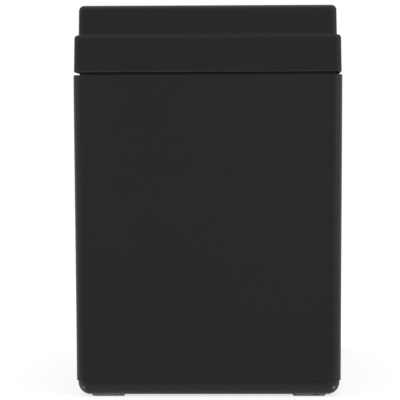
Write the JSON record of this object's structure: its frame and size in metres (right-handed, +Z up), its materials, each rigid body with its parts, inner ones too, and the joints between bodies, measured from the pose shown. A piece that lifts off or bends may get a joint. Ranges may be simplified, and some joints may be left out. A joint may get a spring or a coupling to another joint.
{
  "type": "ups battery",
  "caption": "Black sealed lead-acid UPS battery block: drafted container on low feet, stepped lid with a covered valve recess, and push-on tabs in corner notches at one end.",
  "frame": {"origin": "on the surface that the feet stand on, below the middle of the battery's box", "axes": "+X across the battery to the positive tab's side, +Y along it to the end with the tabs, +Z up"},
  "size_m": [0.065, 0.151, 0.0976],
  "materials": {
    "case_black": "satin black ABS with a fine mould texture",
    "lid_adhesive": "hardened black epoxy",
    "valve_rubber": "soft black rubber",
    "positive_plate": "brown pasted lead dioxide on a lead grid",
    "negative_plate": "grey pasted lead on a lead grid",
    "separator_mat": "off-white glass mat",
    "lead": "dull cast lead",
    "terminal_tin": "tin plate with a stamped edge",
    "positive_resin": "glossy red potting resin",
    "negative_resin": "glossy black potting resin"
  },
  "bodies": {
    "root": {"container": "case_black", "lid": "case_black", "valve_cover": "case_black", "lid_seal": "lid_adhesive", "valve_cap_1": "valve_rubber", "positive_plates_1": "positive_plate", "negative_plates_1": "negative_plate", "separator_mats_1": "separator_mat", "valve_cap_2": "valve_rubber", "positive_plates_2": "positive_plate", "negative_plates_2": "negative_plate", "separator_mats_2": "separator_mat", "valve_cap_3": "valve_rubber", "positive_plates_3": "positive_plate", "negative_plates_3": "negative_plate", "separator_mats_3": "separator_mat", "valve_cap_4": "valve_rubber", "positive_plates_4": "positive_plate", "negative_plates_4": "negative_plate", "separator_mats_4": "separator_mat", "valve_cap_5": "valve_rubber", "positive_plates_5": "positive_plate", "negative_plates_5": "negative_plate", "separator_mats_5": "separator_mat", "valve_cap_6": "valve_rubber", "positive_plates_6": "positive_plate", "negative_plates_6": "negative_plate", "separator_mats_6": "separator_mat", "cell_link_1": "lead", "cell_link_2": "lead", "cell_link_3": "lead", "cell_link_4": "lead", "cell_link_5": "lead", "positive_post": "lead", "positive_terminal": "terminal_tin", "positive_terminal_resin": "positive_resin", "negative_post": "lead", "negative_terminal": "terminal_tin", "negative_terminal_resin": "negative_resin"}
  },
  "joints": []
}
